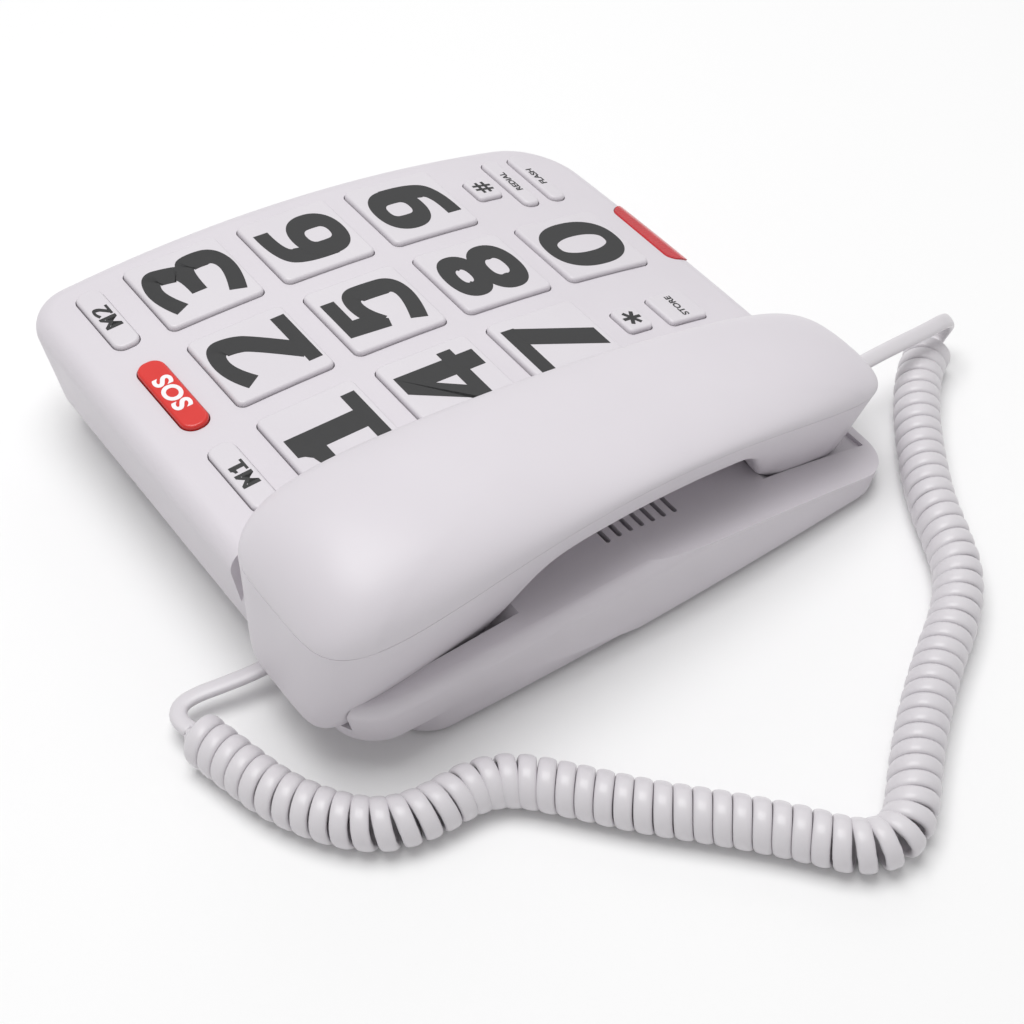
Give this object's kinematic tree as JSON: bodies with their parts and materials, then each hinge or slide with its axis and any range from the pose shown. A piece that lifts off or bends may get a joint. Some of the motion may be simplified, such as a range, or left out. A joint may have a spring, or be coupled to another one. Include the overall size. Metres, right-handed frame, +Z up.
{
  "type": "corded landline phone",
  "caption": "Desk telephone with large dial keys, a handset lying in its cradle and a coiled handset cord.",
  "frame": {"origin": "on the table, under the centre of the phone with its handset in the cradle, cord left out", "axes": "+Z up, +Y towards the rear edge with the memory keys, +X towards the keypad side, handset on the -X side"},
  "size_m": [0.2767, 0.2682, 0.0691],
  "materials": {
    "housing_plastic": "satin white, faintly lilac",
    "key_plastic": "satin white with dark printed legends",
    "red_key_plastic": "satin red with a white legend",
    "red_lens": "translucent red, smooth",
    "grey_rubber": "matte",
    "circuit_board": "green solder mask",
    "steel": "zinc plated",
    "black_plastic": "matte black",
    "can_aluminium": "satin",
    "plug_plastic": "clear, glossy",
    "cord_jacket": "smooth white"
  },
  "bodies": {
    "base": {"base_jack": "black_plastic", "base_screws": "steel", "cord_coil": "cord_jacket", "cord_lead_base": "cord_jacket", "cord_lead_handset": "cord_jacket", "cord_plug_base": "plug_plastic", "hook_switch": "black_plastic", "keypad_board": "circuit_board", "keypad_membrane": "grey_rubber", "keypad_screws": "steel", "line_jack": "black_plastic", "lower_housing": "housing_plastic", "main_board": "circuit_board", "main_board_screws": "steel", "ring_lamp_lens": "red_lens", "ring_led": "circuit_board", "ringer_speaker": "black_plastic", "rubber_feet": "grey_rubber", "upper_housing": "housing_plastic"},
    "handset": {"handset_back_shell": "housing_plastic", "handset_front_shell": "housing_plastic", "handset_screws": "steel", "handset_jack": "black_plastic", "earpiece_receiver": "black_plastic", "receiver_gasket": "grey_rubber", "microphone": "can_aluminium", "microphone_boot": "grey_rubber", "handset_weight": "steel", "cord_plug_handset": "plug_plastic"},
    "hook_plunger": {"hook_plunger": "housing_plastic"},
    "key_1_body": {"key_1": "key_plastic"},
    "key_2_body": {"key_2": "key_plastic"},
    "key_3_body": {"key_3": "key_plastic"},
    "key_4_body": {"key_4": "key_plastic"},
    "key_5_body": {"key_5": "key_plastic"},
    "key_6_body": {"key_6": "key_plastic"},
    "key_7_body": {"key_7": "key_plastic"},
    "key_8_body": {"key_8": "key_plastic"},
    "key_9_body": {"key_9": "key_plastic"},
    "key_0_body": {"key_0": "key_plastic"},
    "key_star_body": {"key_star": "key_plastic"},
    "key_hash_body": {"key_hash": "key_plastic"},
    "key_store_body": {"key_store": "key_plastic"},
    "key_redial_body": {"key_redial": "key_plastic"},
    "key_flash_body": {"key_flash": "key_plastic"},
    "key_m1_body": {"key_m1": "key_plastic"},
    "key_sos_body": {"key_sos": "red_key_plastic"},
    "key_m2_body": {"key_m2": "key_plastic"}
  },
  "joints": [
    {"name": "handset_lift", "type": "slide", "parent": "base", "child": "handset", "axis": [0, 0, 1], "range_m": [0, 0.06]},
    {"name": "hook_rise", "type": "slide", "parent": "base", "child": "hook_plunger", "axis": [0, 0, 1], "range_m": [0, 0.0042]},
    {"name": "key_1_press", "type": "slide", "parent": "base", "child": "key_1_body", "axis": [0, 0.0498, -0.9988], "range_m": [0, 0.0015], "stiffness_N_per_m": 400, "springref_m": -0.001},
    {"name": "key_2_press", "type": "slide", "parent": "base", "child": "key_2_body", "axis": [0, 0.0498, -0.9988], "range_m": [0, 0.0015], "stiffness_N_per_m": 400, "springref_m": -0.001},
    {"name": "key_3_press", "type": "slide", "parent": "base", "child": "key_3_body", "axis": [0, 0.0498, -0.9988], "range_m": [0, 0.0015], "stiffness_N_per_m": 400, "springref_m": -0.001},
    {"name": "key_4_press", "type": "slide", "parent": "base", "child": "key_4_body", "axis": [0, 0.1153, -0.9933], "range_m": [0, 0.0015], "stiffness_N_per_m": 400, "springref_m": -0.001},
    {"name": "key_5_press", "type": "slide", "parent": "base", "child": "key_5_body", "axis": [0, 0.1153, -0.9933], "range_m": [0, 0.0015], "stiffness_N_per_m": 400, "springref_m": -0.001},
    {"name": "key_6_press", "type": "slide", "parent": "base", "child": "key_6_body", "axis": [0, 0.1153, -0.9933], "range_m": [0, 0.0015], "stiffness_N_per_m": 400, "springref_m": -0.001},
    {"name": "key_7_press", "type": "slide", "parent": "base", "child": "key_7_body", "axis": [0, 0.1802, -0.9836], "range_m": [0, 0.0015], "stiffness_N_per_m": 400, "springref_m": -0.001},
    {"name": "key_8_press", "type": "slide", "parent": "base", "child": "key_8_body", "axis": [0, 0.1802, -0.9836], "range_m": [0, 0.0015], "stiffness_N_per_m": 400, "springref_m": -0.001},
    {"name": "key_9_press", "type": "slide", "parent": "base", "child": "key_9_body", "axis": [0, 0.1802, -0.9836], "range_m": [0, 0.0015], "stiffness_N_per_m": 400, "springref_m": -0.001},
    {"name": "key_0_press", "type": "slide", "parent": "base", "child": "key_0_body", "axis": [0, 0.2444, -0.9697], "range_m": [0, 0.0015], "stiffness_N_per_m": 400, "springref_m": -0.001},
    {"name": "key_star_press", "type": "slide", "parent": "base", "child": "key_star_body", "axis": [0, 0.2265, -0.974], "range_m": [0, 0.0015], "stiffness_N_per_m": 400, "springref_m": -0.001},
    {"name": "key_hash_press", "type": "slide", "parent": "base", "child": "key_hash_body", "axis": [0, 0.2265, -0.974], "range_m": [0, 0.0015], "stiffness_N_per_m": 400, "springref_m": -0.001},
    {"name": "key_store_press", "type": "slide", "parent": "base", "child": "key_store_body", "axis": [0, 0.256, -0.9667], "range_m": [0, 0.0015], "stiffness_N_per_m": 400, "springref_m": -0.001},
    {"name": "key_redial_press", "type": "slide", "parent": "base", "child": "key_redial_body", "axis": [0, 0.2501, -0.9682], "range_m": [0, 0.0015], "stiffness_N_per_m": 400, "springref_m": -0.001},
    {"name": "key_flash_press", "type": "slide", "parent": "base", "child": "key_flash_body", "axis": [0, 0.2674, -0.9636], "range_m": [0, 0.0015], "stiffness_N_per_m": 400, "springref_m": -0.001},
    {"name": "key_m1_press", "type": "slide", "parent": "base", "child": "key_m1_body", "axis": [0, 0.0017, -1], "range_m": [0, 0.0015], "stiffness_N_per_m": 400, "springref_m": -0.001},
    {"name": "key_sos_press", "type": "slide", "parent": "base", "child": "key_sos_body", "axis": [0, 0.0017, -1], "range_m": [0, 0.0015], "stiffness_N_per_m": 400, "springref_m": -0.001},
    {"name": "key_m2_press", "type": "slide", "parent": "base", "child": "key_m2_body", "axis": [0, 0.0017, -1], "range_m": [0, 0.0015], "stiffness_N_per_m": 400, "springref_m": -0.001}
  ],
  "couplings": [
    {"joint": "hook_rise", "follows": "handset_lift", "ratio": 0.07}
  ]
}
